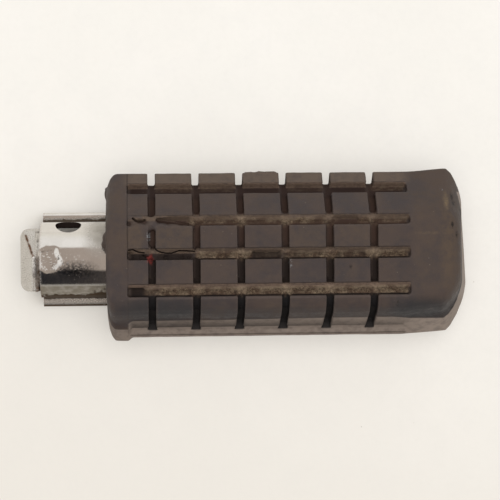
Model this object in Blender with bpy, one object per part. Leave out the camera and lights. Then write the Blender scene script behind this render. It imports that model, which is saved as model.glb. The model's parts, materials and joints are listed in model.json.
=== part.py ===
"""Motorcycle footpeg: a rubber sleeve with a block tread, pushed on a pressed steel channel.

The peg lies on the flat underside of its rubber, tread up. +X runs outward along the peg, +Y is its
front, +Z is up, and the origin is below the middle of the whole. All lengths are in metres.
"""

import math

import bmesh
import bpy
from mathutils import Matrix, Vector

MM = 0.001
MERGE_DISTANCE = 0.001 * MM

# Fits between pieces that touch
CLEARANCE = 0.3 * MM
CUT_MARGIN = 2.0 * MM

# Lengths along the peg, measured from the tip of the nose outward
NOSE_REACH = 6.6 * MM
CHANNEL_BARE = 20.5 * MM
COLLAR_LENGTH = 6.6 * MM
COLLAR_STEP = 1.2 * MM
TREAD_LENGTH = 87.0 * MM
PAD_LENGTH = 15.4 * MM
END_WALL = 9.0 * MM

# Pressed channel: an arched web, two upright walls and a flange along each wall
SHEET = 1.8 * MM
ARCH_RADIUS = 11.8 * MM
CHANNEL_HEIGHT = 23.9 * MM
FLANGE_SPAN = 30.0 * MM
FLANGE_FILLET = 0.9 * MM

# Hinge pin holes, on one tilted axis through the middle of the arch
PIN_HOLE = 8.0 * MM
PIN_FROM_END = 8.7 * MM
PIN_TILT = math.radians(24.5)

# Shallow round dent in the web, open at the channel's end
DENT_WIDTH = 7.2 * MM
DENT_DEPTH = 0.55 * MM
DENT_FROM_END = 3.1 * MM

# Nose: a stop block welded into the channel's end
NOSE_WIDTH = 19.8 * MM
NOSE_CORNER = 2.8 * MM
NOSE_EDGE = 1.0 * MM
INSERT_LENGTH = 3.7 * MM
INSERT_STEP = 0.6 * MM
RIDGE_HEIGHT = 20.4 * MM
RIDGE_FROM_TIP = 3.35 * MM
RIDGE_SKEW = math.radians(-6.8)
FRONT_SLOPE = math.radians(58)
BACK_SLOPE = math.radians(34)

# Weld bead between the nose and the web
BEAD_LENGTH = 7.0 * MM
BEAD_WIDTH = 1.6 * MM
BEAD_HEIGHT = 3.6 * MM
BEAD_SHIFT = -2.1 * MM
BEAD_RIPPLES = 5
BEAD_SIDES = 14
BEAD_RIPPLE_DEPTH = 0.12

# Rubber section: the sole is flat, the crown is flat and level, the front has a brow and the rear a rim
TREAD_HEIGHT = 36.0 * MM
SOLE_WALL = 4.6 * MM
SOLE_FRONT = 20.5 * MM
SOLE_REAR = 21.5 * MM
SOLE_RADIUS = 2.0 * MM
FOOT_FRONT = 22.9 * MM
FOOT_HEIGHT = 5.0 * MM
FOOT_RADIUS = 4.0 * MM
BODY_FRONT = 23.2 * MM
UNDER_BROW = 19.5 * MM
UNDER_RADIUS = 1.5 * MM
BROW_OUT = 27.1 * MM
BROW_HEIGHT = 24.0 * MM
BROW_RADIUS = 1.1 * MM
CROWN_FRONT = 12.3 * MM
CROWN_REAR = 15.9 * MM
CROWN_RADIUS = 8.0 * MM
RIM_OUT = 24.7 * MM
RIM_HEIGHT = 18.8 * MM
RIM_RADIUS = 1.0 * MM
SHELF_OUT = 22.2 * MM
SHELF_HEIGHT = 20.8 * MM
SHELF_RADIUS = 0.9 * MM
COLLAR_OUT = 25.9 * MM
COLLAR_HEIGHT = 17.0 * MM
COLLAR_RADIUS = 5.0 * MM

# Ends of the rubber: how far along and how far in each edge is rounded
INNER_TOP_EDGE = (1.6 * MM, 1.6 * MM)
INNER_FRONT_EDGE = (3.5 * MM, 8.0 * MM)
INNER_REAR_EDGE = (3.0 * MM, 10.0 * MM)
OUTER_FRONT_EDGE = (4.4 * MM, 10.2 * MM)
OUTER_REAR_EDGE = (6.0 * MM, 13.9 * MM)
OUTER_TOP_EDGE = (6.0 * MM, 5.0 * MM)
ROUND = 2.0
CHAMFER = 1.4
END_SWELL = 0.9 * MM
END_TAPER = 1.0 * MM

# The outer end leans outward from the crown to the sole, and less so towards the front
END_LEAN = 8.0 * MM
FRONT_LEAN_LOSS = 4.8 * MM

# Tread grooves
GROOVE_DEPTH = 3.1 * MM
CROSS_GROOVES = 6
CROSS_WIDTH = 2.2 * MM
CROSS_PITCH = 13.65 * MM
FIRST_BLOCK = 6.4 * MM
CROSS_BITE = 0.5 * MM
LONG_DRAFT = 0.75

# Grooves along the tread: how far from the channel's middle, how wide, and their share of the brow's slope
LONG_GROOVES = {
    "brow": (21.5 * MM, 3.6 * MM, 0.5),
    "front": (11.3 * MM, 2.4 * MM, 0.33),
    "middle": (0.95 * MM, 2.8 * MM, 0),
    "rear": (-10.15 * MM, 3.3 * MM, 0),
}

ARC_STEPS = 5
NEARLY_STRAIGHT = math.radians(1)
HOLE_STEPS = 40
ARCH_STEPS = 28

# Places that follow from the sizes
RUBBER_START = NOSE_REACH + CHANNEL_BARE
TREAD_START = RUBBER_START + COLLAR_LENGTH
TREAD_END = TREAD_START + TREAD_LENGTH
TOP_END = TREAD_END + PAD_LENGTH
LENGTH = TOP_END + END_LEAN
CHANNEL_END = TOP_END - END_WALL
CHANNEL_FLOOR = SOLE_WALL + CLEARANCE
ARCH_CENTRE = CHANNEL_FLOOR + CHANNEL_HEIGHT - ARCH_RADIUS
PIN_AT = NOSE_REACH + PIN_FROM_END
RIDGE_UP = CHANNEL_FLOOR + RIDGE_HEIGHT
INSERT_START = NOSE_REACH - 2 * CLEARANCE
BROW_SLOPE = math.atan2(TREAD_HEIGHT - BROW_HEIGHT, BROW_OUT - CROWN_FRONT)


def material(name, colour, roughness, metallic):
    """A Principled material with one colour."""
    made = bpy.data.materials.new(name)
    made.use_nodes = True
    shader = made.node_tree.nodes["Principled BSDF"]
    shader.inputs["Base Color"].default_value = (*colour, 1.0)
    shader.inputs["Roughness"].default_value = roughness
    shader.inputs["Metallic"].default_value = metallic
    return made


def arc(corner, before, after, radius):
    """Points that round one corner of an outline, from the side of `before` to the side of `after`."""
    back = (before - corner).normalized()
    ahead = (after - corner).normalized()
    half = back.angle(ahead) / 2
    longest = 0.49 * min((before - corner).length, (after - corner).length)
    if 2 * half > math.pi - NEARLY_STRAIGHT:
        reach = min(radius, longest)
        return [corner + back * reach * (1 - 2 * i / ARC_STEPS) for i in range(ARC_STEPS + 1)]
    reach = min(radius / math.tan(half), longest)
    radius = reach * math.tan(half)
    centre = corner + (back + ahead).normalized() * (radius / math.sin(half))
    start = corner + back * reach - centre
    end = corner + ahead * reach - centre
    turn = start.angle_signed(end)
    return [centre + Matrix.Rotation(-turn * i / ARC_STEPS, 2) @ start for i in range(ARC_STEPS + 1)]


def rounded(corners, closed=True):
    """An outline through (across, up, radius) corners, with each corner rounded to its radius."""
    points = [Vector(corner[:2]) for corner in corners]
    outline = []
    for i, corner in enumerate(corners):
        at_end = not closed and i in (0, len(corners) - 1)
        if at_end or corner[2] == 0:
            outline.append(points[i])
        else:
            outline += arc(points[i], points[i - 1], points[(i + 1) % len(points)], corner[2])
    return outline


def moved_aside(corners, distance):
    """An open path of (across, up, radius) corners, moved to its left by a distance."""
    points = [Vector(corner[:2]) for corner in corners]
    lefts = []
    for a, b in zip(points, points[1:]):
        along = (b - a).normalized()
        lefts.append(Vector((-along.y, along.x)))
    result = []
    for i, point in enumerate(points):
        before = lefts[max(i - 1, 0)]
        after = lefts[min(i, len(lefts) - 1)]
        mitre = (before + after) / (1 + before.dot(after))
        moved = point + mitre * distance
        radius = corners[i][2] - distance
        result.append((moved.x, moved.y, max(radius, CLEARANCE)))
    return result


def finish(name, mesh_bm, finish_material, parent, smooth_angle=math.radians(28)):
    """Turns a bmesh into a named object with its material, shaded smooth up to an angle."""
    bmesh.ops.recalc_face_normals(mesh_bm, faces=mesh_bm.faces)
    mesh = bpy.data.meshes.new(name)
    mesh_bm.to_mesh(mesh)
    mesh_bm.free()
    mesh.shade_smooth()
    mesh.set_sharp_from_angle(angle=smooth_angle)
    made = bpy.data.objects.new(name, mesh)
    bpy.context.scene.collection.objects.link(made)
    made.parent = parent
    if finish_material:
        mesh.materials.append(finish_material)
    return made


def as_cutter(cutter):
    """Keeps an object as a guide for Booleans only."""
    cutter.hide_render = True
    cutter.display_type = "WIRE"
    return cutter


def boolean(target, other, operation="DIFFERENCE"):
    """Adds an exact Boolean of another object to the target."""
    modifier = target.modifiers.new(other.name, "BOOLEAN")
    modifier.operation = operation
    modifier.solver = "EXACT"
    modifier.object = other


def loft(rings):
    """A bmesh skinned over closed rings of points, with a face on each end."""
    made = bmesh.new()
    loops = [[made.verts.new(point) for point in ring] for ring in rings]
    for ring, following in zip(loops, loops[1:]):
        for i, vertex in enumerate(ring):
            j = (i + 1) % len(ring)
            made.faces.new((vertex, ring[j], following[j], following[i]))
    made.faces.new(reversed(loops[0]))
    made.faces.new(loops[-1])
    return made


def prism(outline, start, end):
    """A bmesh of an (across, up) outline run along the peg from start to end."""
    return loft([[Vector((x, point.x, point.y)) for point in outline] for x in (start, end)])


def merged(pieces):
    """One bmesh that holds several separate ones."""
    whole = bmesh.new()
    for piece in pieces:
        mesh = bpy.data.meshes.new("part_of_cutter")
        piece.to_mesh(mesh)
        piece.free()
        whole.from_mesh(mesh)
        bpy.data.meshes.remove(mesh)
    return whole


def arch_points(radius):
    """The half circle of the web, from the front wall over to the rear wall."""
    angles = [math.pi * i / ARCH_STEPS for i in range(ARCH_STEPS + 1)]
    return [Vector((radius * math.cos(a), ARCH_CENTRE + radius * math.sin(a))) for a in angles]


def flanged_side(sign, grow=0.0):
    """The outside of one wall and its flange, from the flange's tip up to the arch."""
    tip = sign * (FLANGE_SPAN / 2 + grow)
    wall = sign * (ARCH_RADIUS + grow)
    top = CHANNEL_FLOOR + SHEET + grow
    bend = rounded([(tip, top, 0), (wall, top, FLANGE_FILLET), (wall, ARCH_CENTRE, 0)], closed=False)
    return [Vector((tip, CHANNEL_FLOOR - grow)), *bend[:-1]]


def channel_outline():
    """The closed section of the pressed channel."""
    inner = ARCH_RADIUS - SHEET
    inner_bend = FLANGE_FILLET + SHEET
    front_in = rounded(
        [(FLANGE_SPAN / 2, CHANNEL_FLOOR, 0), (inner, CHANNEL_FLOOR, inner_bend), (inner, ARCH_CENTRE, 0)],
        closed=False,
    )
    rear_in = [Vector((-point.x, point.y)) for point in front_in]
    outside = flanged_side(1) + arch_points(ARCH_RADIUS) + flanged_side(-1)[::-1]
    inside = rear_in[1:-1] + arch_points(inner)[::-1] + front_in[1:-1][::-1]
    return outside + inside


def channel_envelope(grow):
    """The outside of the channel, closed straight across below, grown by a distance."""
    return flanged_side(1, grow) + arch_points(ARCH_RADIUS + grow) + flanged_side(-1, grow)[::-1]


def pin_cutter(parent):
    """A rod on the pin's axis, long enough to pass both walls."""
    made = bmesh.new()
    radius = PIN_HOLE / 2
    bmesh.ops.create_cone(
        made, cap_ends=True, segments=HOLE_STEPS, radius1=radius, radius2=radius, depth=FLANGE_SPAN
    )
    turn = Matrix.Rotation(PIN_TILT - math.pi / 2, 4, "X")
    bmesh.ops.transform(made, matrix=Matrix.Translation((PIN_AT, 0, ARCH_CENTRE)) @ turn, verts=made.verts)
    return as_cutter(finish("pin_cutter", made, None, parent))


def dent_cutter(parent):
    """A ball that presses the dent into the web."""
    ball = (DENT_WIDTH**2 / 4 + DENT_DEPTH**2) / (2 * DENT_DEPTH)
    made = bmesh.new()
    bmesh.ops.create_uvsphere(made, u_segments=96, v_segments=48, radius=ball)
    middle = (NOSE_REACH + DENT_FROM_END, 0, ARCH_CENTRE + ARCH_RADIUS - DENT_DEPTH + ball)
    bmesh.ops.translate(made, vec=middle, verts=made.verts)
    return as_cutter(finish("dent_cutter", made, None, parent))


def make_channel(parent, finish_material):
    """The pressed channel with its pin holes and dent."""
    channel = finish(
        "footrest_channel", prism(channel_outline(), NOSE_REACH, CHANNEL_END), finish_material, parent
    )
    boolean(channel, pin_cutter(parent))
    boolean(channel, dent_cutter(parent))


def nose_plan():
    """The nose from above, as (along, across): two rounded corners at its tip."""
    back = NOSE_REACH - CLEARANCE
    side = NOSE_WIDTH / 2
    return rounded([(back, -side, 0), (back, side, 0), (0, side, NOSE_CORNER), (0, -side, NOSE_CORNER)])


def make_nose(parent, finish_material):
    """The stop block: a rounded block with a skew ridge, and the insert that fills the channel's end."""
    made = bmesh.new()
    base = made.faces.new([made.verts.new((p.x, p.y, CHANNEL_FLOOR)) for p in nose_plan()])
    raised = bmesh.ops.extrude_face_region(made, geom=[base])["geom"]
    lifted = [item for item in raised if isinstance(item, bmesh.types.BMVert)]
    bmesh.ops.translate(made, vec=(0, 0, RIDGE_HEIGHT + CUT_MARGIN), verts=lifted)
    ridge = Vector((RIDGE_FROM_TIP, 0, RIDGE_UP))
    skew = Matrix.Rotation(RIDGE_SKEW, 3, "Z")
    slopes = [(-math.sin(FRONT_SLOPE), math.cos(FRONT_SLOPE)), (math.sin(BACK_SLOPE), math.cos(BACK_SLOPE))]
    for along, up in slopes:
        cut = bmesh.ops.bisect_plane(
            made,
            geom=made.verts[:] + made.edges[:] + made.faces[:],
            plane_co=ridge,
            plane_no=skew @ Vector((along, 0, up)),
            clear_outer=True,
        )
        rim = [item for item in cut["geom_cut"] if isinstance(item, bmesh.types.BMEdge)]
        bmesh.ops.holes_fill(made, edges=rim, sides=0)
    bmesh.ops.recalc_face_normals(made, faces=made.faces)
    sharp = [edge for edge in made.edges if edge.calc_face_angle(0) > math.radians(25)]
    outer = [edge for edge in sharp if min(vertex.co.x for vertex in edge.verts) < NOSE_REACH - 2 * CLEARANCE]
    bmesh.ops.bevel(
        made, geom=outer, offset=NOSE_EDGE, segments=3, profile=0.5, affect="EDGES", clamp_overlap=True
    )
    bmesh.ops.remove_doubles(made, verts=made.verts, dist=MERGE_DISTANCE)
    nose = finish("stop_nose", made, finish_material, parent)
    boolean(nose, as_cutter(nose_insert(parent)), "UNION")


def nose_insert(parent):
    """The part of the nose that fills the channel's end, under the arch."""
    radius = ARCH_RADIUS - SHEET - CLEARANCE
    floor = CHANNEL_FLOOR + INSERT_STEP
    outline = [Vector((-radius, floor)), Vector((radius, floor)), *arch_points(radius)]
    return finish("nose_insert", prism(outline, INSERT_START, NOSE_REACH + INSERT_LENGTH), None, parent)


def make_bead(parent, finish_material):
    """The weld bead, a rippled loft that lies on the nose's back slope against the web."""
    rings = []
    steps = BEAD_RIPPLES * 6
    middle = INSERT_START - CLEARANCE - BEAD_WIDTH / 2
    for i in range(steps + 1):
        along = -1 + 2 * i / steps
        across = BEAD_SHIFT + along * BEAD_LENGTH / 2
        girth = math.sqrt(max(1 - abs(along) ** 3, BEAD_RIPPLE_DEPTH))
        girth *= 1 - BEAD_RIPPLE_DEPTH * abs(math.cos(math.pi * BEAD_RIPPLES * (along + 1) / 2))
        half_width = girth * BEAD_WIDTH / 2
        half_height = girth * BEAD_HEIGHT / 2
        reach = math.hypot(half_width * math.sin(BACK_SLOPE), half_height * math.cos(BACK_SLOPE))
        ridge = RIDGE_FROM_TIP + across * math.tan(RIDGE_SKEW)
        slope_height = RIDGE_UP - (middle - ridge) * math.tan(BACK_SLOPE)
        centre = slope_height + (reach + CLEARANCE) / math.cos(BACK_SLOPE)
        angles = [2 * math.pi * k / BEAD_SIDES for k in range(BEAD_SIDES)]
        rings.append([
            Vector((middle + half_width * math.cos(a), across, centre + half_height * math.sin(a)))
            for a in angles
        ])
    finish("nose_weld", loft(rings), finish_material, parent)


def edge_inset(distance, edge, exponent=ROUND):
    """How far an edge is drawn in at a distance from the end, for a rounding of (along, in)."""
    along, drawn_in = edge
    left = 1 - distance / along
    if left <= 0:
        return 0.0
    return drawn_in * (1 - (1 - min(left, 1.0) ** exponent) ** (1 / exponent))


def ramp(x, start, end):
    """0 before start, 1 past end, smooth between."""
    t = min(max((x - start) / (end - start), 0.0), 1.0)
    return t * t * (3 - 2 * t)


def rear_corners(share):
    """The rear of the rubber's section: share 1 is the tread's shelf and rim, 0 is a plain round side."""
    slope = (COLLAR_OUT - CROWN_REAR) / (TREAD_HEIGHT - COLLAR_HEIGHT)
    plain = (CROWN_REAR + slope * (TREAD_HEIGHT - SHELF_HEIGHT), SHELF_HEIGHT)
    shelf = plain[0] + share * (SHELF_OUT - plain[0])
    out = COLLAR_OUT + share * (RIM_OUT - COLLAR_OUT)
    up = COLLAR_HEIGHT + share * (RIM_HEIGHT - COLLAR_HEIGHT)
    radius = COLLAR_RADIUS + share * (RIM_RADIUS - COLLAR_RADIUS)
    return [
        (-CROWN_REAR, TREAD_HEIGHT, CROWN_RADIUS),
        (-shelf, SHELF_HEIGHT, SHELF_RADIUS),
        (-out, up, radius),
        (-out, FOOT_HEIGHT, FOOT_RADIUS),
    ]


def front_corners():
    """The front of the rubber's section: its foot, the hollow under the brow, the brow and the crown."""
    return [
        (FOOT_FRONT, FOOT_HEIGHT, FOOT_RADIUS),
        (BODY_FRONT, UNDER_BROW, UNDER_RADIUS),
        (BROW_OUT, BROW_HEIGHT, BROW_RADIUS),
        (CROWN_FRONT, TREAD_HEIGHT, CROWN_RADIUS),
    ]


def rubber_ring(x):
    """The outside of the rubber at a distance along the peg, before its outer end is leaned."""
    from_inner = x - RUBBER_START
    from_outer = TOP_END - x
    pad = ramp(x, TREAD_END, TOP_END - OUTER_FRONT_EDGE[0])
    share = ramp(x, TREAD_START, TREAD_START + COLLAR_STEP) - ramp(x, TREAD_END, TREAD_END + COLLAR_STEP)
    front = BROW_OUT + END_SWELL * pad - edge_inset(from_inner, INNER_FRONT_EDGE)
    front -= edge_inset(from_outer, OUTER_FRONT_EDGE, CHAMFER)
    rear = COLLAR_OUT - edge_inset(from_inner, INNER_REAR_EDGE) - END_TAPER * pad
    rear -= (COLLAR_OUT - RIM_OUT) * ramp(x, TREAD_END, TREAD_END + COLLAR_STEP)
    rear -= edge_inset(from_outer, OUTER_REAR_EDGE, CHAMFER)
    top = TREAD_HEIGHT + END_SWELL * pad - edge_inset(from_inner, INNER_TOP_EDGE)
    top -= edge_inset(from_outer, OUTER_TOP_EDGE)
    sole = [(-SOLE_REAR, 0, SOLE_RADIUS), (SOLE_FRONT, 0, SOLE_RADIUS)]
    outline = rounded(sole + front_corners() + rear_corners(share))
    leaned = ramp(x, TREAD_END, TOP_END - OUTER_REAR_EDGE[0])
    ring = []
    for point in outline:
        across = point.x * (front / BROW_OUT if point.x > 0 else rear / COLLAR_OUT)
        up = point.y * top / TREAD_HEIGHT
        below = 1 - up / TREAD_HEIGHT
        loss = FRONT_LEAN_LOSS * (below * max(across, 0) / BROW_OUT) ** 2
        ring.append(Vector((x + leaned * (END_LEAN * below - loss), across, up)))
    return ring


def rubber_stations():
    """Distances along the peg where the rubber's outside is drawn."""
    inner = [RUBBER_START + share * INNER_FRONT_EDGE[0] for share in (0, 0.05, 0.17, 0.4, 0.7, 1)]
    steps = [TREAD_START, TREAD_START + COLLAR_STEP / 2, TREAD_START + COLLAR_STEP]
    steps += [TREAD_END, TREAD_END + COLLAR_STEP / 2, TREAD_END + COLLAR_STEP]
    pad_start = TREAD_END + COLLAR_STEP
    pad_end = TOP_END - OUTER_REAR_EDGE[0]
    pad = [pad_start + share * (pad_end - pad_start) for share in (0.33, 0.67, 1)]
    outer = [TOP_END - share * OUTER_REAR_EDGE[0] for share in (0.75, 0.5, 0.3, 0.14, 0.05, 0)]
    return inner + steps + pad + outer


def cross_cutter(parent):
    """The six grooves across the tread, from the rear shelf over the crown and right through the brow."""
    front = BODY_FRONT - CROSS_BITE + GROOVE_DEPTH
    surface = TREAD_HEIGHT - (front - CROWN_FRONT) * math.tan(BROW_SLOPE)
    path = [
        (front, UNDER_BROW - CUT_MARGIN, 0),
        (front, surface, BROW_RADIUS),
        front_corners()[-1],
        *rear_corners(1)[:2],
    ]
    floor = rounded(moved_aside(path, GROOVE_DEPTH), closed=False)
    outside = rounded(moved_aside(path, -CUT_MARGIN), closed=False)
    outline = outside + floor[::-1]
    pieces = []
    for i in range(CROSS_GROOVES):
        middle = TREAD_START + FIRST_BLOCK + CROSS_WIDTH / 2 + i * CROSS_PITCH
        pieces.append(prism(outline, middle - CROSS_WIDTH / 2, middle + CROSS_WIDTH / 2))
    return as_cutter(finish("cross_groove_cutter", merged(pieces), None, parent))


def long_cutter(parent):
    """The four grooves along the tread, each narrower at its floor and tilted towards the brow's slope."""
    pieces = []
    for across, width, tilt in LONG_GROOVES.values():
        surface = TREAD_HEIGHT - max(across - CROWN_FRONT, 0) * math.tan(BROW_SLOPE)
        made = bmesh.new()
        bmesh.ops.create_cube(made, size=1)
        size = (TREAD_LENGTH, width, GROOVE_DEPTH + CUT_MARGIN)
        bmesh.ops.scale(made, vec=size, verts=made.verts)
        bmesh.ops.translate(made, vec=(0, 0, (CUT_MARGIN - GROOVE_DEPTH) / 2), verts=made.verts)
        floor = [vertex for vertex in made.verts if vertex.co.z < 0]
        bmesh.ops.scale(made, vec=(1, LONG_DRAFT, 1), verts=floor)
        seat = Matrix.Translation((TREAD_START + TREAD_LENGTH / 2, across, surface))
        tilted = seat @ Matrix.Rotation(-tilt * BROW_SLOPE, 4, "X")
        bmesh.ops.transform(made, matrix=tilted, verts=made.verts)
        pieces.append(made)
    return as_cutter(finish("long_groove_cutter", merged(pieces), None, parent))


def pocket_cutter(parent):
    """The pocket in the rubber that the channel fills."""
    outline = channel_envelope(CLEARANCE)
    pocket = prism(outline, RUBBER_START - CUT_MARGIN, CHANNEL_END + CLEARANCE)
    return as_cutter(finish("pocket_cutter", pocket, None, parent))


def make_rubber(parent, finish_material):
    """The rubber sleeve: collar, block tread and closed outer end. It is widest, so it centres the peg."""
    rings = [rubber_ring(x) for x in rubber_stations()]
    rubber = finish("foot_rubber", loft(rings), finish_material, parent)
    boolean(rubber, pocket_cutter(parent))
    boolean(rubber, long_cutter(parent))
    boolean(rubber, cross_cutter(parent))
    across = [point.y for ring in rings for point in ring]
    parent.location = (-LENGTH / 2, -(min(across) + max(across)) / 2, 0)


def main():
    for old in list(bpy.data.objects):
        bpy.data.objects.remove(old)
    peg = bpy.data.objects.new("peg", None)
    bpy.context.scene.collection.objects.link(peg)
    chrome = material("chrome", (0.62, 0.60, 0.57), 0.14, 1.0)
    weld = material("weld", (0.42, 0.38, 0.34), 0.45, 1.0)
    rubber = material("rubber", (0.075, 0.058, 0.052), 0.62, 0.0)
    make_channel(peg, chrome)
    make_nose(peg, chrome)
    make_bead(peg, weld)
    make_rubber(peg, rubber)


main()
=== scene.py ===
"""Looks of a motorcycle footpeg: worn block-tread rubber on a pitted, plated steel channel.

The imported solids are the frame. Each operator models one piece over its solid, in the same place and
size, and gives it its finish. The stage operator adds the floor, the light and the camera.
"""

import json
import math
import random

import bpy
import numpy as np
from mathutils import Matrix, Vector, noise
from mathutils.bvhtree import BVHTree

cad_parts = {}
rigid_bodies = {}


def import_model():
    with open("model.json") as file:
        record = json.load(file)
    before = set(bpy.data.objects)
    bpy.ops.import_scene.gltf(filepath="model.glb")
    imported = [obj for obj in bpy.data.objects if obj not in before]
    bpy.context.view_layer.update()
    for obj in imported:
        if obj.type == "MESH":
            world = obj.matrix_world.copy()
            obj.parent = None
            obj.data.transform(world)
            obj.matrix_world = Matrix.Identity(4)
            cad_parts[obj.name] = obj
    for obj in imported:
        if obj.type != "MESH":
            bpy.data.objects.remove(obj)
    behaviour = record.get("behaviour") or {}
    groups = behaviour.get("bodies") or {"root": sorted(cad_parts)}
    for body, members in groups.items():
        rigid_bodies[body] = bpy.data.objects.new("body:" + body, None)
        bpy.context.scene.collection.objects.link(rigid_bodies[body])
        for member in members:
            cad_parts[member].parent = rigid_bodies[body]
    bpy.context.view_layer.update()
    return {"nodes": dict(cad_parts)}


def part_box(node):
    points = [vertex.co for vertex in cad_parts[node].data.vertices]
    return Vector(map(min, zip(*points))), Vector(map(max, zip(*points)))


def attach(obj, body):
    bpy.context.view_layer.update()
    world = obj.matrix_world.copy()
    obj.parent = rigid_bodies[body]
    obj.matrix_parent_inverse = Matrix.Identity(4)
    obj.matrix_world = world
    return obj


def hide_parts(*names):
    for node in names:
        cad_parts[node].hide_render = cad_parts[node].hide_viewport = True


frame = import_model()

bl_info = {
    "name": "Motorcycle footpeg looks",
    "version": (1, 0, 0),
    "blender": (4, 5, 0),
    "location": "View3D > Sidebar > Footpeg",
    "description": "Models and dresses the rubber, channel, nose and weld of a footpeg",
    "category": "Object",
}

MM = 0.001
NEAR = 0.01 * MM  # places closer together than this count as one

RUBBER_LOW, RUBBER_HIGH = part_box("foot_rubber")
CHANNEL_LOW, CHANNEL_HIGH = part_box("footrest_channel")
NOSE_LOW, NOSE_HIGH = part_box("stop_nose")
WELD_LOW, WELD_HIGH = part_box("nose_weld")

# The channel's middle line and a point along it, which every piece is set out from
AXIS = (CHANNEL_LOW.y + CHANNEL_HIGH.y) / 2
ALONG = CHANNEL_LOW.x + 64.2 * MM


# Selecting and shaping, as by hand


def alone(obj):
    """Selects one object and makes it the active one."""
    if bpy.context.mode != "OBJECT":
        bpy.ops.object.mode_set(mode="OBJECT")
    bpy.ops.object.select_all(action="DESELECT")
    obj.select_set(True)
    bpy.context.view_layer.objects.active = obj
    return obj


def primitive(name, add, **values):
    """Adds a primitive with nothing else selected, names it and applies its place to its mesh."""
    bpy.ops.object.select_all(action="DESELECT")
    add(**values)
    obj = bpy.context.active_object
    obj.name = name
    obj.data.name = name
    alone(obj)
    bpy.ops.object.transform_apply(location=True, rotation=True, scale=True)
    return obj


def linked(name, data):
    """A new object in the scene that holds a mesh, a lamp or a camera."""
    obj = bpy.data.objects.new(name, data)
    bpy.context.scene.collection.objects.link(obj)
    return obj


def editing(obj, select="VERT", action="DESELECT"):
    """Opens edit mode with nothing selected, or everything."""
    alone(obj)
    bpy.ops.object.mode_set(mode="EDIT")
    bpy.ops.mesh.select_mode(type=select)
    bpy.ops.mesh.select_all(action=action)


def pick(obj, test, parts="vertices"):
    """Selects those vertices or edges whose middle passes the test."""
    bpy.ops.object.mode_set(mode="OBJECT")
    mesh = obj.data
    points = mesh.vertices
    for group in (mesh.vertices, mesh.edges, mesh.polygons):
        group.foreach_set("select", [False] * len(group))
    for item in getattr(mesh, parts):
        if parts == "vertices":
            item.select = test(item.co)
        else:
            item.select = test(sum((points[i].co for i in item.vertices), Vector()) / len(item.vertices))
    bpy.ops.object.mode_set(mode="EDIT")


def extruded(x=0, y=0, z=0):
    """Extrudes what is selected by a distance."""
    bpy.ops.mesh.extrude_region_move(TRANSFORM_OT_translate={"value": (x, y, z)})


def modified(obj, kind, **values):
    """Adds a modifier with its values and applies it."""
    alone(obj)
    modifier = obj.modifiers.new(kind.lower(), kind)
    for name, value in values.items():
        setattr(modifier, name, value)
    bpy.ops.object.modifier_apply(modifier=modifier.name)


def cut(obj, cutter):
    """Cuts another object's shape out of one, and deletes the cutter."""
    modified(obj, "BOOLEAN", object=cutter, operation="DIFFERENCE", solver="EXACT")
    delete(cutter)


def delete(obj):
    mesh = obj.data
    bpy.data.objects.remove(obj)
    bpy.data.meshes.remove(mesh)


def joined(target, others):
    """Joins other objects into the target."""
    alone(target)
    for other in others:
        other.select_set(True)
    bpy.ops.object.join()
    return target


def merged_copy(node, name):
    """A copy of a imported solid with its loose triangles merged."""
    obj = linked(name, frame["nodes"][node].data.copy())
    obj.data.materials.clear()
    editing(obj, action="SELECT")
    bpy.ops.mesh.remove_doubles(threshold=0.002 * MM)
    return alone(obj)


def lump(name, middle, size, turn=0.0):
    """A rounded lump of size (along, across, up) at a place, turned about Z."""
    return primitive(
        name, bpy.ops.mesh.primitive_ico_sphere_add,
        subdivisions=3, radius=0.5, location=middle, rotation=(0, 0, turn), scale=size,
    )


def lumps(name, shapes):
    """Lumps given as middle, size and turn, the first two in millimetres."""
    return [lump(name, at(*middle), Vector(size) * MM, turn) for middle, size, turn in shapes]


def block(name, middle, size, turn=(0, 0, 0)):
    """A block of a size at a place, turned about X, Y and Z."""
    return primitive(
        name, bpy.ops.mesh.primitive_cube_add, size=1, location=middle, rotation=turn, scale=size
    )


def box(name, low, high):
    """A block between two corners."""
    low, high = Vector(low), Vector(high)
    return block(name, (low + high) / 2, high - low)


def rod(name, middle, radius, reach, turn):
    """A round rod at a place, turned about X, Y and Z."""
    return primitive(
        name, bpy.ops.mesh.primitive_cylinder_add,
        vertices=96, radius=radius, depth=reach, location=middle, rotation=turn,
    )


def ribbon(name, points, height, thickness):
    """An upright strip that follows points, from the points up by a height."""
    obj = primitive(name, bpy.ops.mesh.primitive_plane_add, size=MM, location=(0, 0, 0))
    editing(obj)
    pick(obj, lambda co: not (co.x < 0 and co.y < 0))
    bpy.ops.mesh.delete(type="VERT")
    bpy.ops.mesh.select_all(action="SELECT")
    start = obj.data.vertices[0].co.copy()
    bpy.ops.transform.translate(value=Vector(points[0]) - start)
    for a, b in zip(points, points[1:]):
        extruded(*(Vector(b) - Vector(a)))
    bpy.ops.mesh.select_all(action="SELECT")
    extruded(z=height)
    alone(obj)
    modified(obj, "SOLIDIFY", thickness=thickness, offset=0, use_even_offset=True)
    return outward(obj)


def outward(obj):
    """Turns every face outward."""
    editing(obj, action="SELECT")
    bpy.ops.mesh.normals_make_consistent(inside=False)
    return alone(obj)


def rounded(piece, width, segments, sharp):
    """Rounds the edges that are sharper than an angle in degrees."""
    limit = math.radians(sharp)
    modified(piece, "BEVEL", width=width, segments=segments, limit_method="ANGLE", angle_limit=limit)


def moulded(piece, cell, rounds, ripple, size, strength, level):
    """Remeshes a piece, softens its edges and makes its faces uneven, as after casting or moulding."""
    modified(piece, "REMESH", mode="VOXEL", voxel_size=cell)
    modified(piece, "SMOOTH", factor=0.5, iterations=rounds)
    texture = bpy.data.textures.new(ripple, "CLOUDS")
    texture.noise_scale = size
    texture.noise_depth = 2
    modified(
        piece, "DISPLACE", texture=texture, texture_coords="LOCAL", strength=strength, mid_level=level
    )


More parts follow.
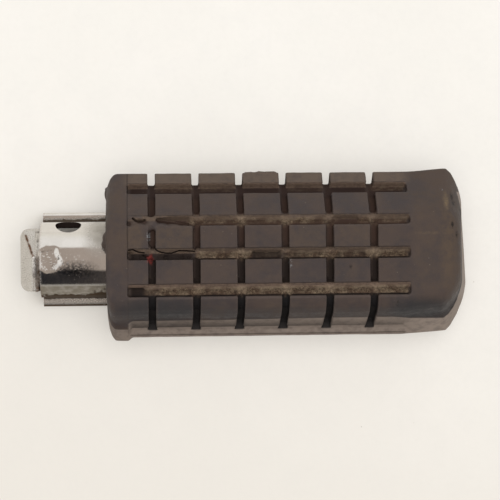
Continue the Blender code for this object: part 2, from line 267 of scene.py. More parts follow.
def ride_and_replace(obj, node):
    """Ties the finished piece to the peg's one body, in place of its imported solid."""
    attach(obj, "root")
    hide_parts(node)


def at(x, y, z):
    """A place given in millimetres along the peg, across it from its middle line, and up."""
    return Vector((ALONG + x * MM, AXIS + y * MM, z * MM))


# Surface data: fields painted on the vertices


def places(obj):
    """The vertex places in the same millimetres."""
    points = np.empty(len(obj.data.vertices) * 3)
    obj.data.vertices.foreach_get("co", points)
    return (points.reshape(-1, 3) - (ALONG, AXIS, 0)) / MM


def paint(obj, domain="POINT", **fields):
    """Stores numbers from 0 to 1 on each vertex or face, under the names of the fields."""
    for name, values in fields.items():
        attribute = obj.data.attributes.new(name, "FLOAT", domain)
        attribute.data.foreach_set("value", np.clip(values, 0.0, 1.0).astype(np.float32))


def step(values, start, end):
    """0 at start, 1 at end, smooth between."""
    t = np.clip((values - start) / (end - start), 0, 1)
    return t * t * (3 - 2 * t)


def spot(points, middle, reach, soft=0.5):
    """1 inside an upright oval round a place, fading out at its rim."""
    offset = (points[:, :2] - middle) / reach
    return 1 - step(np.sqrt((offset**2).sum(axis=1)), 1 - soft, 1 + soft)


def smoothness(obj, points):
    """How far each vertex stands out of its neighbours' middle, in millimetres, along its normal."""
    mesh = obj.data
    edges = np.empty(len(mesh.edges) * 2, np.int64)
    mesh.edges.foreach_get("vertices", edges)
    edges = edges.reshape(-1, 2)
    total = np.zeros_like(points)
    count = np.zeros(len(points))
    for a, b in ((0, 1), (1, 0)):
        np.add.at(total, edges[:, a], points[edges[:, b]])
        np.add.at(count, edges[:, a], 1)
    normals = np.empty(len(points) * 3)
    mesh.vertex_normals.foreach_get("vector", normals)
    away = points - total / np.maximum(count, 1)[:, None]
    return (away * normals.reshape(-1, 3)).sum(axis=1)


# Shader nodes


class Nodes:
    """Adds nodes to a shader tree. Each method gives back the new node's output."""

    def __init__(self, tree):
        self.tree = tree

    def fill(self, socket, value):
        """Sets an input to a number or colour, or links it to an output."""
        if isinstance(value, bpy.types.NodeSocket):
            self.tree.links.new(value, socket)
        elif socket.type == "RGBA":
            socket.default_value = (*value, 1.0)
        else:
            socket.default_value = value

    def new(self, kind, inputs=None, **settings):
        """A new node with its settings made and its inputs filled."""
        made = self.tree.nodes.new("ShaderNode" + kind)
        for name, value in settings.items():
            setattr(made, name, value)
        for name, value in (inputs or {}).items():
            self.fill(made.inputs[name], value)
        return made

    def math(self, operation, a, b=0.0, clamp=False):
        return self.new("Math", {0: a, 1: b}, operation=operation, use_clamp=clamp).outputs[0]

    def times(self, *values):
        product = values[0]
        for value in values[1:]:
            product = self.math("MULTIPLY", product, value)
        return product

    def total(self, *parts):
        """The sum of values, each times its share."""
        made = 0.0
        for value, share in parts:
            made = self.math("ADD", made, self.times(value, share))
        return made

    def ramp(self, value, low, high, to_low=0.0, to_high=1.0):
        inputs = {"Value": value, "From Min": low, "From Max": high, "To Min": to_low, "To Max": to_high}
        return self.new("MapRange", inputs, interpolation_type="SMOOTHSTEP").outputs[0]

    def fall(self, value, low, high):
        """1 up to low and 0 from high on."""
        return self.ramp(value, low, high, 1.0, 0.0)

    def mix(self, amount, a, b):
        return self.new("Mix", {"Factor": amount, "A": a, "B": b}, data_type="RGBA").outputs["Result"]

    def over(self, colour, *layers):
        """A colour with others laid over it in turn, each given after how much of it shows."""
        for amount, top in layers:
            colour = self.mix(amount, colour, top)
        return colour


class Finish(Nodes):
    """One material's node tree, built on its Principled shader in the object's millimetres."""

    def __init__(self, name):
        self.material = bpy.data.materials.new(name)
        self.material.use_nodes = True
        super().__init__(self.material.node_tree)
        self.shader = self.tree.nodes["Principled BSDF"]
        self.place = self.new("TexCoord").outputs["Object"]
        self.place = self.mapped((1 / MM, 1 / MM, 1 / MM), (-ALONG / MM, -AXIS / MM, 0))

    def set(self, **values):
        for name, value in values.items():
            self.fill(self.shader.inputs[name.replace("_", " ")], value)

    def mapped(self, scale, shift=(0, 0, 0)):
        return self.new("Mapping", {"Vector": self.place, "Scale": scale, "Location": shift}).outputs[0]

    def noise(self, scale, detail=3.0, roughness=0.5, place=None, distortion=0.0):
        inputs = {"Vector": place or self.place, "Scale": scale, "Detail": detail}
        inputs |= {"Roughness": roughness, "Distortion": distortion}
        return self.new("TexNoise", inputs).outputs["Fac"]

    def cells(self, scale):
        return self.new("TexVoronoi", {"Vector": self.place, "Scale": scale}).outputs["Distance"]

    def painted(self, name):
        return self.new("Attribute", attribute_name=name).outputs["Fac"]

    def patchy(self, name, scale, low, high, least=0.0, most=1.0):
        """A painted field, broken up by noise."""
        return self.times(self.painted(name), self.ramp(self.noise(scale, 4.0, 0.7), low, high, least, most))

    def axis(self, which):
        return self.new("SeparateXYZ", {0: self.place}).outputs[which]

    def line(self, value, middle, wander, swing, narrow, wide):
        """1 where a value is at its middle, which wanders, and 0 beyond the line's width."""
        away = self.math("ADD", self.math("SUBTRACT", value, middle), self.times(wander, swing))
        return self.fall(self.math("ABSOLUTE", away), narrow, wide)

    def bump(self, height, distance):
        return self.new("Bump", {"Distance": distance, "Height": height}).outputs["Normal"]


def tinted(colour, red, green, blue):
    """A colour with each part multiplied."""
    return colour[0] * red, colour[1] * green, colour[2] * blue


# Settings


def length(name, description, millimetres):
    """A length that the user can set."""
    return bpy.props.FloatProperty(
        name=name, description=description, default=millimetres * MM, unit="LENGTH", subtype="DISTANCE"
    )


def number(name, description, default):
    """A plain number that the user can set."""
    return bpy.props.FloatProperty(name=name, description=description, default=default)


def angle(name, description, degrees):
    """An angle that the user can set."""
    return bpy.props.FloatProperty(
        name=name, description=description, default=math.radians(degrees), unit="ROTATION", subtype="ANGLE"
    )


def shade(name, description, colour):
    """A colour that the user can set."""
    return bpy.props.FloatVectorProperty(
        name=name, description=description, default=colour, subtype="COLOR", size=3
    )


class RubberSettings(bpy.types.PropertyGroup):
    """The rubber sleeve's detail and colours"""

    cell: length("Mesh size", "Edge length of the remeshed rubber", 0.4)
    most_triangles: bpy.props.IntProperty(
        name="Triangles", description="The most triangles that the rubber keeps", default=190000
    )
    swell: length("Swell", "How far the old rubber bulges out of true", 0.18)
    colour: shade("Rubber", "Clean face of the rubber", (0.051, 0.0385, 0.0355))
    film_colour: shade("Film", "Brown film on the rubber", (0.084, 0.060, 0.044))
    # pale dust, which also paints the sheen of the rear slope and the outer end
    dust_and_sheen_colour: shade("Dust", "Pale dust on the rear and round the outer end", (0.275, 0.226, 0.192))
    sand_colour: shade("Sand", "Dry dirt in the grooves", (0.190, 0.140, 0.098))
    paint_colour: shade("Paint speck", "Fleck of red paint in the torn corner", (0.20, 0.030, 0.026))


class SteelSettings(bpy.types.PropertyGroup):
    """The plated steel's sizes and colours"""

    sheet: length("Sheet", "Thickness of the pressed channel", 1.8)
    arch: length("Arch", "Outside radius of the channel's web", 11.8)
    pin_hole: length("Pin hole", "Diameter of the hinge pin holes", 8.0)
    pin_from_end: length("Pin from end", "Distance of the pin's axis from the channel's end", 8.7)
    pin_tilt: angle("Pin tilt", "Tilt of the pin's axis", 24.5)
    dent_depth: length("Dent", "Depth of the dent in the web", 0.8)
    plating_colour: shade("Plating", "Reflection of the plating", (0.74, 0.715, 0.68))
    # the haze colour also paints a darker reflection and shade on the web
    haze_colour: shade("Haze", "Grey-brown haze over the plating", (0.22, 0.195, 0.155))
    # the stain colour also paints a dark reflection and shade
    stain_colour: shade("Stain", "Brown stain in the folds", (0.055, 0.036, 0.022))
    rust_colour: shade("Rust", "Rust at the edges", (0.16, 0.062, 0.022))


class StageSettings(bpy.types.PropertyGroup):
    """Floor, light and camera"""

    floor_colour: shade("Floor", "Pale floor", (0.885, 0.858, 0.812))
    camera_height: length("Camera height", "Height of the camera over the floor", 580)
    camera_tilt: angle("Camera tilt", "Lean of the camera along the peg", 3.3)
    camera_roll: angle("Camera roll", "Turn of the camera about its view", 0.58)
    lens: number("Lens", "Focal length in millimetres", 128.3)
    lamp_power: number("Lamp", "Power of the soft lamp in watts", 6.9)
    lamp_width: length("Lamp width", "Width of the soft lamp", 900)
    sky_strength: number("Sky", "Strength of the light from all round", 0.72)


# The rubber sleeve

# Grooves along the tread: middle line and half width
LONG_GROOVES = {"brow": (21.5, 1.5), "front": (11.3, 1.2), "middle": (0.95, 1.4), "rear": (-10.15, 1.65)}
CROSS_GROOVES = (-29.6, -15.95, -2.3, 11.35, 25.0, 38.65)
TREAD_FROM, TREAD_TO = -37.1, 50.0

# Front edge of each groove's worn front bank, and the height of the tread there
BANKS = {"brow": (23.3, 27.05), "front": (13.2, 35.05), "middle": (3.1, 36.0), "rear": (-7.8, 36.0)}
BANK_RUN, BANK_DROP = 1.6, 2.5

# Sand in each groove: from, to and how much
SAND = {
    "brow": ((-28, -17, 0.25), (-14, -4, 0.2), (13, 24, 0.15), (39, 50, 0.35)),
    "front": (
        (-18, -13, 0.8), (-13, -5, 0.45), (-5, 0, 0.8), (0, 10, 0.55), (10, 13, 0.9), (13, 21, 0.95),
        (21, 26, 0.5), (34, 39, 0.7), (39, 50, 0.35),
    ),
    "middle": (
        (-16, -7, 0.95), (-7, 1, 0.9), (2, 9, 0.15), (11, 22, 0.6), (22, 28, 1.0), (28, 36, 0.55),
        (36, 41, 1.0), (41, 50, 0.85),
    ),
    "rear": (
        (-32, -27.5, 0.4), (-27.5, -18, 0.95), (-18, -13, 0.85), (-13, -4, 0.7), (-4, 10, 0.8),
        (10, 14, 0.95), (14, 25, 0.95), (25, 38, 0.7), (38, 50, 0.8),
    ),
}

# Heaps of sand where grooves cross: place along the tread, groove and how much
HEAPS = (
    (-2.3, "middle", 1.0), (25.0, "middle", 0.8), (38.65, "middle", 0.8), (11.35, "middle", 0.25),
    (-15.95, "front", 0.5), (-2.3, "front", 0.75), (11.35, "front", 0.65), (25.0, "front", 0.3),
    (38.65, "front", 0.35), (-15.95, "rear", 0.5), (-2.3, "rear", 0.45), (11.35, "rear", 0.8),
    (25.0, "rear", 0.25), (38.65, "rear", 0.3), (-8.5, "middle", 0.55), (-22.0, "rear", 0.4),
)
HEAP_REACH = (3.0, 2.1)

# Marks on the rubber: how much, middle, reach and softness
FILM = (
    (0.6, (-22.8, 6.0), (7.0, 4.6), 0.3), (0.75, (-34.8, 6.2), (3.2, 4.6), 0.35),
    (0.45, (19.0, 6.0), (6.0, 5.0), 0.5), (0.35, (33.0, 6.0), (6.0, 5.0), 0.5),
    (0.65, (61.6, 4.0), (2.4, 13.0), 0.6), (0.35, (-41.0, 12.0), (3.0, 11.0), 0.5),
    (0.25, (-10.0, -15.5), (3.5, 2.0), 0.5), (0.25, (10.0, -15.5), (7.0, 2.0), 0.5),
)
# Painted dark reflection and shade, near black, on the rear slope and the pad
DARK_SHEEN = (
    (1.0, (54.0, -16.5), (9.5, 3.2), 0.6), (0.75, (-27.0, -15.5), (13.0, 3.2), 0.5),
    (0.35, (8.0, -17.5), (40.0, 2.2), 0.4),
)
SMUDGES = ((1.0, (61.4, 17.0), (0.75, 2.2), 0.8), (0.25, (55.5, 7.2), (4.4, 0.30), 0.6))
NICKS = (
    (1.0, (63.6, 18.4), (0.5, 1.1), 0.5), (1.0, (64.0, 16.3), (0.6, 0.7), 0.5),
    (1.0, (62.9, 9.6), (0.5, 1.0), 0.5), (1.0, (64.4, 6.6), (0.35, 0.9), 0.5),
    (0.8, (31.3, -3.0), (0.45, 0.45), 0.4), (0.7, (45.8, -14.6), (0.3, 1.0), 0.4),
)
FROST = (
    (0.8, (-30.5, 6.9), (0.5, 1.3), 0.5), (0.6, (12.8, -1.8), (0.3, 1.5), 0.5),
    (0.8, (60.4, 20.7), (0.35, 0.35), 0.3),
)
SPECK_AT, SPECK_REACH = (-30.2, -0.1), (1.15, 1.7)
# Top of the pale dust and painted sheen on the rear: places along the peg, and its height at each
DUST_AND_SHEEN_LEVEL = ((-37, -10, 20, 45, 52, 70), (28.0, 28.0, 28.8, 29.0, 27.6, 25.6))


def torn_rubber():
    """Lumps for the torn and smeared rubber in the second row of blocks."""
    shapes = (
        # the front groove is smeared shut beside the collar
        ((-35.6, 12.4, 34.3), (4.2, 2.6, 3.3), 0.0),
        ((-33.2, 12.7, 34.3), (4.6, 1.5, 3.2), -0.2),
        ((-33.4, 10.4, 34.1), (6.4, 1.6, 3.5), -0.1),
        # swollen edge of the second block
        ((-26.6, 10.2, 34.2), (5.0, 1.9, 3.5), -0.06),
        ((-22.6, 9.9, 34.1), (6.4, 1.9, 3.5), -0.10),
        ((-18.4, 9.7, 34.1), (4.4, 1.5, 3.3), -0.16),
        ((-26.8, 12.9, 34.1), (4.6, 0.9, 3.0), -0.03),
        # bridge over the first cross groove
        ((-29.7, 12.0, 33.8), (3.6, 1.9, 3.0), 0.0),
        ((-29.7, 10.6, 34.2), (4.2, 3.2, 3.3), 0.3),
        ((-30.3, 9.2, 34.3), (2.2, 1.6, 2.6), 0.5),
        ((-29.0, 9.4, 34.2), (1.8, 1.2, 2.6), -0.3),
        # ragged tongue and the flap torn down into the middle groove
        ((-30.6, 3.3, 34.0), (1.7, 2.4, 3.4), 0.5),
        ((-29.7, 2.1, 33.5), (2.3, 2.0, 2.6), -0.4),
        ((-29.0, 1.0, 33.0), (2.0, 2.2, 2.0), 0.3),
        ((-31.9, 2.3, 33.9), (2.8, 1.3, 2.9), 0.15),
        ((-34.0, 2.2, 33.3), (3.2, 1.1, 2.6), -0.2),
        ((-33.0, 1.0, 33.0), (4.4, 1.2, 1.7), 0.1),
        ((-35.4, 1.2, 32.9), (2.4, 1.4, 1.4), -0.1),
        ((-26.2, 1.3, 32.9), (5.4, 1.5, 2.3), 0.06),
        ((-22.4, 1.0, 33.1), (5.6, 1.7, 2.4), 0.10),
        ((-18.6, 1.2, 32.9), (4.4, 1.5, 2.3), -0.04),
    )
    pieces = lumps("torn_lump", shapes)
    chance = random.Random(7)
    for _ in range(30):
        middle = (chance.uniform(-36, -17), chance.uniform(0.2, 2.8), chance.uniform(32.9, 34.3))
        size = chance.uniform(0.6, 1.3)
        girth = Vector((size * 1.5, size, size)) * MM
        pieces.append(lump("torn_crumb", at(*middle), girth, chance.uniform(0, 3)))
    return pieces


def collar_flaps():
    """The torn nub and the flap that stand off the collar's inner face."""
    shapes = (
        ((-43.1, 20.3, 22.5), (2.2, 4.8, 3.0), 0.0),
        ((-43.5, 21.6, 21.0), (1.2, 1.9, 2.4), 0.3),
        ((-43.4, 6.0, 30.4), (2.6, 4.6, 3.4), 0.25),
        ((-44.2, 4.7, 29.8), (1.9, 2.8, 2.0), -0.2),
        ((-44.0, 3.0, 29.9), (0.9, 1.7, 1.6), 0.4),
        ((-43.4, 2.5, 30.1), (0.9, 1.3, 1.6), -0.5),
    )
    return lumps("collar_nub", shapes)


def ragged_edge():
    """Crumbs along the lip of the third block."""
    chance = random.Random(3)
    crumbs = []
    for i in range(12):
        size = chance.uniform(0.8, 1.4)
        spot_on_edge = at(i * 0.8, 26.55, 24.0 + chance.uniform(-0.3, 0.4))
        crumbs.append(lump("edge_crumb", spot_on_edge, Vector((size, size, size)) * MM))
    return crumbs


def dirt_wedges():
    """Dirt that lies in the grooves along the tread, banked up against their front walls."""
    wedges = []
    slope, thick = math.radians(42), 2.0
    down = Vector((0, math.sin(slope), -math.cos(slope)))
    filled = [(name, *LONG_GROOVES[name]) for name in ("front", "middle", "rear")]
    for name, across, half in filled:
        for start, end, amount in SAND[name]:
            top = at((start + end) / 2, across + 0.42 * half, 33.2 + 0.9 * amount)
            size = Vector((end - start, 1.7 * half, thick)) * MM
            wedges.append(block("dirt_wedge", top + down * thick / 2 * MM, size, (slope, 0, 0)))
    for _, across, half in filled:
        for along in CROSS_GROOVES[1:]:
            low, high = at(along, across + 0.1, 33.0), at(along, across + 0.6 * half, 33.7)
            wedges.append(lump("dirt_heap", low, Vector((3.4, 1.7 * half, 2.3)) * MM))
            wedges.append(lump("dirt_heap", high, Vector((1.6, 1.8, 2.6)) * MM))
    return wedges


def groove_banks():
    """Cutters that lay back the front edge of each groove along the tread."""
    banks = []
    slope = math.atan2(BANK_DROP, BANK_RUN)
    size = Vector((TREAD_TO - TREAD_FROM - 0.4, math.hypot(BANK_RUN, BANK_DROP), 1.0)) * MM
    for across, up in BANKS.values():
        middle = at((TREAD_FROM + TREAD_TO) / 2, across - BANK_RUN / 2, up - BANK_DROP / 2)
        middle += Vector((0, -math.sin(slope), math.cos(slope))) * size.z / 2
        banks.append(block("groove_bank", middle, size, (slope, 0, 0)))
    return banks


def groove_feet():
    """Cutters that widen the foot of each cross groove where it opens onto the rear shelf."""
    feet = []
    for along in CROSS_GROOVES:
        foot = box("groove_foot", at(along - 1.1, -22.7, 20.0), at(along + 1.1, -20.6, 22.4))
        editing(foot)
        pick(foot, lambda co: co.y < AXIS - 22 * MM)
        bpy.ops.transform.resize(value=(1.35, 1, 1))
        feet.append(alone(foot))
    return feet


def cracks():
    """Thin cuts along the torn edges: the line of each, its bottom and its width."""
    lines = [
        (((-35.5, 12.6), (-34.6, 11.8), (-33.6, 11.5), (-32.4, 11.6), (-31.4, 12.0)), 32.6, 0.7),
        (((-28.3, 11.9), (-26.0, 11.75), (-23.5, 11.4), (-20.6, 10.9), (-18.2, 10.4)), 32.6, 0.75),
        (((-28.9, 3.6), (-28.2, 2.7), (-27.1, 2.1), (-25.4, 1.75), (-23.6, 1.7), (-21.3, 2.5), (-19.0, 2.4),
          (-16.4, 2.2)), 32.8, 0.42),
        (((-36.9, 2.7), (-35.4, 2.9), (-33.6, 2.1), (-31.8, 1.9)), 33.0, 0.42),
        (((-32.6, 1.2), (-31.6, 0.6), (-30.6, 0.9)), 33.0, 0.35),
    ]
    blades = []
    for line, low, width in lines:
        blades.append(ribbon("crack_blade", [at(x, y, low) for x, y in line], 6 * MM, width * MM))
    return blades


def thinned(piece, most):
    """Brings a mesh under a number of triangles, first where it is plain or out of sight."""
    count = sum(len(face.vertices) - 2 for face in piece.data.polygons)
    if count <= most:
        return
    x, y, z = places(piece).T
    side = np.abs(y)
    # the room for the channel, and the underside with the lower part of the walls
    pocket = (np.hypot(y, z - 17) < 12.5) | ((z < 17) & (side < 12.5)) | ((z < 7.2) & (side < 15.8))
    pocket &= (x < 57) & (z > 3.5)
    out_of_sight = pocket | (z < 1.5) | ((z < 16) & (side > 15.8))
    group = piece.vertex_groups.new(name="plain")
    group.add(np.flatnonzero(out_of_sight).tolist(), 1.0, "REPLACE")
    modified(piece, "DECIMATE", ratio=most / count, vertex_group="plain", vertex_group_factor=20.0)
    piece.vertex_groups.clear()


def without_bits(piece):
    """Deletes the loose bits that the cuts left, keeping the part that holds the far end."""
    editing(piece)
    far = max(vertex.co.x for vertex in piece.data.vertices)
    pick(piece, lambda co: co.x > far - NEAR)
    bpy.ops.mesh.select_linked()
    bpy.ops.mesh.select_all(action="INVERT")
    bpy.ops.mesh.delete(type="VERT")
    return alone(piece)


def tread_depth(points):
    """How deep each vertex lies under the hull of the tread, in millimetres.

    On the rear shelf and under the brow only the mouths of the cross grooves count as deep.
    """
    x, y, z = points.T
    inside = (x > TREAD_FROM) & (x < TREAD_TO)
    hull = linked("tread_hull", bpy.data.meshes.new("tread_hull"))
    hull.data.from_pydata(points[inside & (z > 15)].tolist(), [], [])
    editing(hull, action="SELECT")
    bpy.ops.mesh.convex_hull()
    alone(hull)
    tree = BVHTree.FromPolygons(
        [vertex.co for vertex in hull.data.vertices], [tuple(face.vertices) for face in hull.data.polygons]
    )
    delete(hull)
    depth = np.zeros(len(points))
    for i in np.flatnonzero(inside & (z > 19)):
        depth[i] = tree.find_nearest(Vector(points[i]))[3] or 0.0
    shelf, shelf_rim, brow = -20, -22.35, 22.9
    mouth = np.min([np.abs(x - along) for along in CROSS_GROOVES], axis=0) < 1.5
    mouth &= y > shelf_rim
    depth[(y < shelf) & (z < 22.5) & ~mouth] *= 0.15
    depth[(y < shelf) & (z < 20.75) & mouth] += 1.0
    depth[(y > brow) & (z < 24)] *= 0.35
    return depth


def span(values, start, end, soft):
    """1 between start and end, fading out over a soft length at both."""
    return step(values, start - soft, start + soft) * (1 - step(values, end - soft, end + soft))


def bank_amount(points, depth):
    """How much each vertex belongs to the laid-back front bank of a groove along the tread."""
    x, y, z = points.T
    bank = np.zeros(len(points))
    for across, up in BANKS.values():
        bank = np.maximum(bank, span(y, across - BANK_RUN, across + 0.1, 0.15) * (z > up - 2.5))
    return bank * span(x, TREAD_FROM, TREAD_TO, 0.3) * step(depth, 0.0, 0.3)


def sand_amount(points, depth):
    """How much sand lies at each vertex."""
    x, y, z = points.T
    sand = np.zeros(len(points))
    for name, stretches in SAND.items():
        across, half = LONG_GROOVES[name]
        bed = span(y, across - 0.60 * half, across + 0.9 * half, 0.2)
        for start, end, amount in stretches:
            sand = np.maximum(sand, 0.9 * amount * bed * span(x, start, end, 0.8))
    patches = np.array([0.5 + 0.5 * noise.noise(Vector((a * 0.5, b * 0.7, 4.0))) for a, b in zip(x, y)])
    sand *= step(depth, 0.35, 0.9) * np.where(y < -6, 0.75 + 0.7 * patches, 0.35 + 1.2 * patches)
    for along, name, amount in HEAPS:
        across, half = LONG_GROOVES[name]
        middle = (along, across + 0.1 * half)
        rays = 0.5 + 0.5 * np.cos(7 * np.arctan2(y - middle[1], x - middle[0]) + along)
        reach = np.hypot((x - middle[0]) / HEAP_REACH[0], (y - middle[1]) / HEAP_REACH[1])
        heap = amount * (1 - step(reach, 0.3, 0.75 + 0.5 * rays)) * (z > 31)
        sand = np.maximum(sand, heap)
    return sand


def spots(points, marks):
    """The sum of ovals, each given as how much, its middle, its reach and its softness."""
    return sum(amount * spot(points, middle, reach, soft) for amount, middle, reach, soft in marks)


def paint_rubber(obj):
    """Stores where the grooves with their painted shade, sand, brown film, dust with painted sheen, painted
    dark sheen and worn edges are.
    """
    points = places(obj)
    depth = tread_depth(points)
    x, y, z = points.T
    fields = {"bank": bank_amount(points, depth), "sand": sand_amount(points, depth)}

    # painted shade in the grooves, by depth under the tread's hull, lighter in the left half of each cross
    # groove except behind the middle
    beside = [np.where(x < along + 1.3, np.abs(x - along + 0.85), 9.0) for along in CROSS_GROOVES]
    left = np.min(beside, axis=0)
    pale = (1 - step(left, 0.3, 0.7)) * (y > -6)
    cavity = step(depth, 0.25, 1.7) * (1 - 0.9 * fields["bank"]) * (1 - 0.45 * pale)
    fields["cavity"] = cavity

    brow = span(x, TREAD_FROM, TREAD_TO, 3)
    # the heavier film on the brow also paints the brow paler, as the light falling on it
    fields["film"] = spots(points, FILM) + 0.9 * brow * step(y, 22.2, 23.0) + 0.3 * fields["bank"]
    fields["film"] += 0.3 * step(x, TREAD_TO - 1, TREAD_TO + 3) * step(y, -14, -8)

    # pale dust with painted sheen on the rear slope and round the outer end, and a little on the brow
    level = np.where(x < TREAD_FROM, 24.5, np.interp(x, *DUST_AND_SHEEN_LEVEL))
    dust = 1 - step(z, level - 0.35, level + 0.35)
    dust *= (0.72 + 0.28 * step(x, TREAD_TO - 5, TREAD_TO + 8)) * ((y < 20) & ((y < -15) | (x > 60)))
    dust = np.maximum(dust, 0.16 * brow * step(y, 22.6, 23.4) * (z > 20))
    fields["dust"] = dust

    # painted dark sheen, kept off the dust and out of the grooves
    fields["clean"] = spots(points, DARK_SHEEN) * (1 - dust) * (1 - cavity)
    fields["wear"] = step(smoothness(obj, points), 0.010, 0.05) * (1 - cavity) * (z > 22)
    fields["smudge"] = spots(points, SMUDGES)
    fields["nick"] = spots(points, NICKS)
    fields["frost"] = spots(points, FROST[:1]) * (z > 32) + spots(points, FROST[1:])

    away_x, away_y = x - SPECK_AT[0], y - SPECK_AT[1]
    rays = 0.5 + 0.5 * np.cos(5 * np.arctan2(away_y, away_x))
    reach = np.hypot(away_x / SPECK_REACH[0], away_y / SPECK_REACH[1])
    fields["speck"] = (1 - step(reach, 0.45, 0.85 + 0.5 * rays)) * (z > 31)
    paint(obj, **fields)


def rubber_shade_lines(f, x, y, z, middling):
    """Painted shade in dark lines: the rim's undercut, the crease above the skirt, the collar's edge and the
    banks' tops.
    """
    wander = f.math("MULTIPLY", f.math("SUBTRACT", f.noise(0.35, 3.0), 0.5), 0.5)
    along = f.times(f.ramp(x, -36.8, -36.2), f.fall(x, 50.0, 51.0))
    rim = f.times(f.line(y, -23.95, wander, 0.4, 0.10, 0.32), f.fall(z, 20.5, 21.5))
    rim = f.times(rim, f.ramp(z, 15.5, 16.5), along, 0.5)
    crease = f.times(f.line(z, 27.3, wander, 1.0, 0.7, 2.2), f.ramp(x, 62.5, 65.5))
    crease = f.times(crease, f.ramp(y, 16.0, 14.0, 0.0, 1.0), 0.9)
    collar = f.times(f.line(x, -37.0, wander, 0.3, 0.08, 0.26), f.ramp(z, 20.0, 21.0))
    collar = f.times(collar, f.ramp(y, -6.0, 4.0, 0.3, 0.9), 0.6)
    shade_lines = f.math("MAXIMUM", f.math("MAXIMUM", rim, crease), collar)
    inside = f.times(f.ramp(x, TREAD_FROM, TREAD_FROM + 0.5), f.fall(x, TREAD_TO - 0.5, TREAD_TO))
    broken = f.times(inside, f.ramp(middling, 0.3, 0.55, 0.4, 1.0), 0.55)
    for across, up in BANKS.values():
        line = f.times(f.line(y, across, wander, 0.7, 0.05, 0.30), f.ramp(z, up - 1.3, up - 0.9))
        shade_lines = f.math("MAXIMUM", shade_lines, f.times(line, broken))
    return shade_lines


